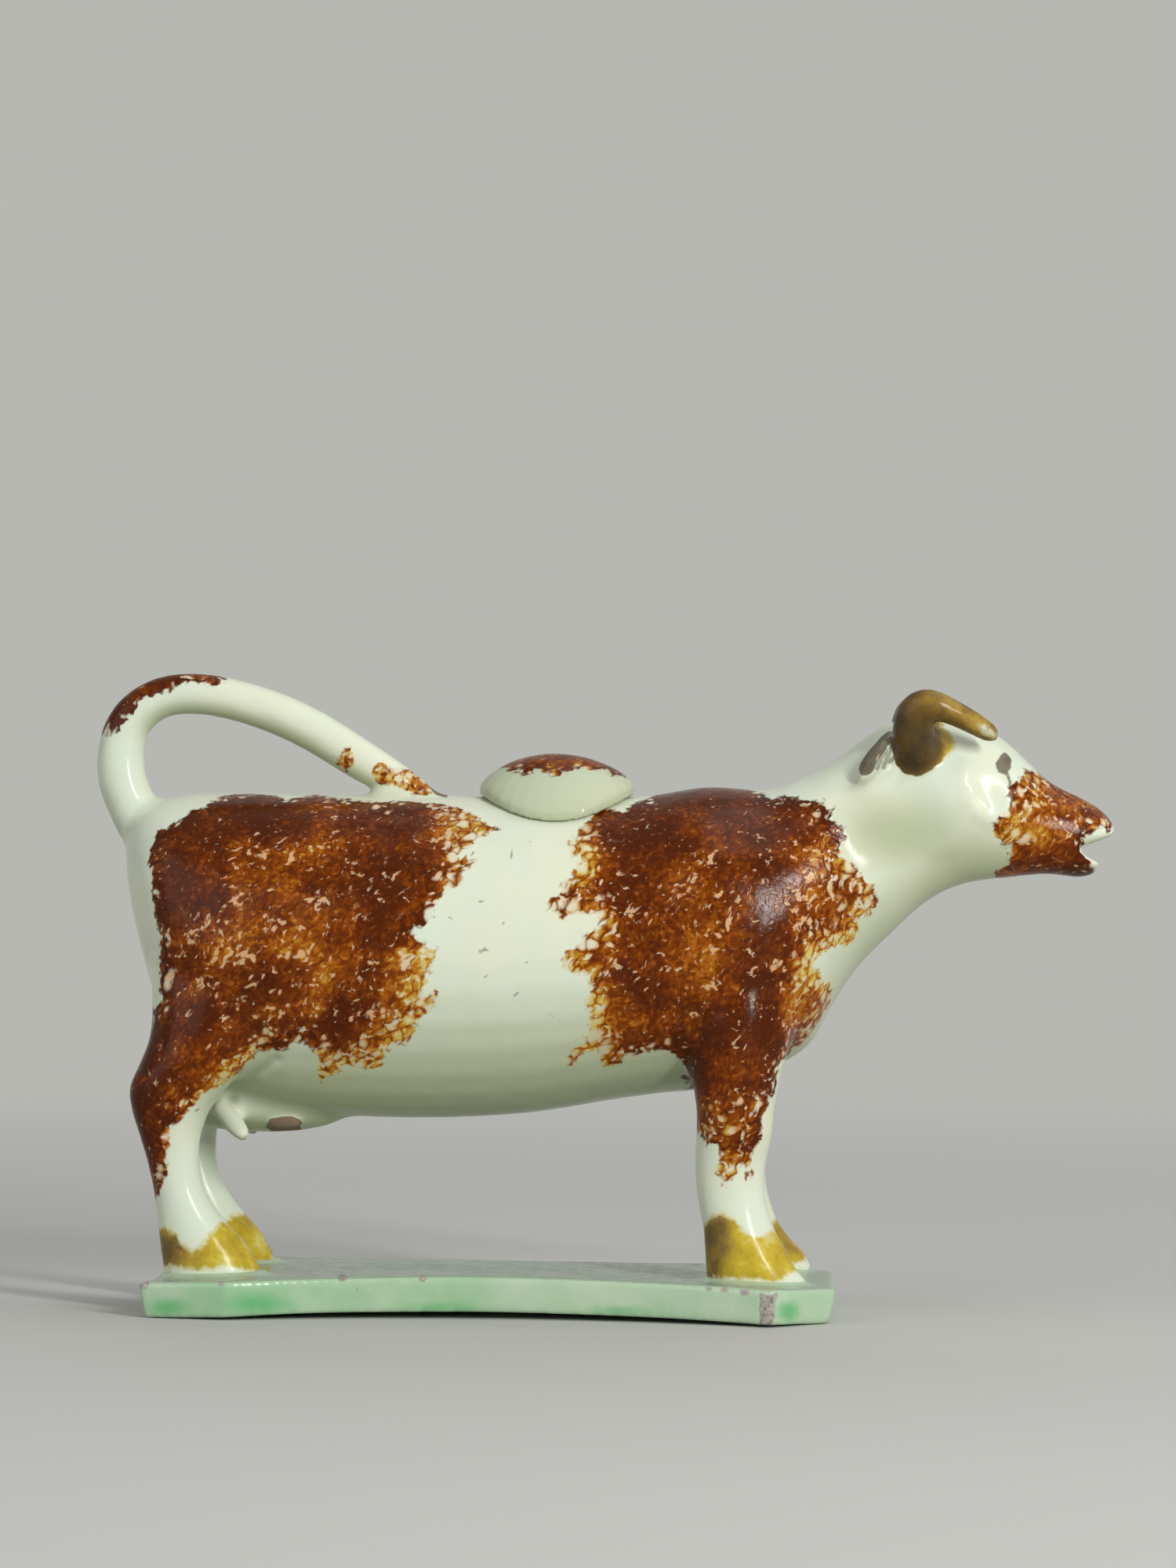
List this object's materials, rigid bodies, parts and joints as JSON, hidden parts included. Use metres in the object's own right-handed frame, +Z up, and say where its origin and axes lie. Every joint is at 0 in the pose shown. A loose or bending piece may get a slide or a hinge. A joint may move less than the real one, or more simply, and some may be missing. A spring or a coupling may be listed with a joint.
{
  "type": "cow creamer",
  "caption": "Glazed pottery cream jug in the form of a standing cow on a slab plinth: loose lid over the filling hole in its back, open mouth for a spout, looped tail for a handle.",
  "frame": {"origin": "middle of the plinth's flat underside, half way between its tail end and its head end", "axes": "+X runs along the object toward the cow's nose, +Y toward the cow's left, the side away from the camera, +Z is up"},
  "size_m": [0.1743, 0.0534, 0.1085],
  "materials": {
    "cream_glaze": "glossy pearl glaze over cream earthenware, with sponged patches",
    "sponged_glaze": "glossy glaze over orange-brown sponging",
    "ochre_glaze": "glossy ochre glaze",
    "manganese_glaze": "glossy grey-brown glaze",
    "green_glaze": "glossy mint-green glaze"
  },
  "bodies": {
    "cow": {"body_shell": "cream_glaze", "neck_and_head": "cream_glaze", "near_foreleg": "sponged_glaze", "far_foreleg": "sponged_glaze", "near_hind_leg": "sponged_glaze", "far_hind_leg": "sponged_glaze", "tail_handle": "sponged_glaze", "near_horn": "ochre_glaze", "far_horn": "ochre_glaze", "near_ear": "manganese_glaze", "far_ear": "manganese_glaze", "udder": "cream_glaze", "teats": "cream_glaze", "plinth": "green_glaze"},
    "lid": {"lid": "cream_glaze"}
  },
  "joints": [
    {"name": "lid_lift", "type": "slide", "parent": "cow", "child": "lid", "axis": [0, 0, 1], "range_m": [0, 0.04]}
  ]
}
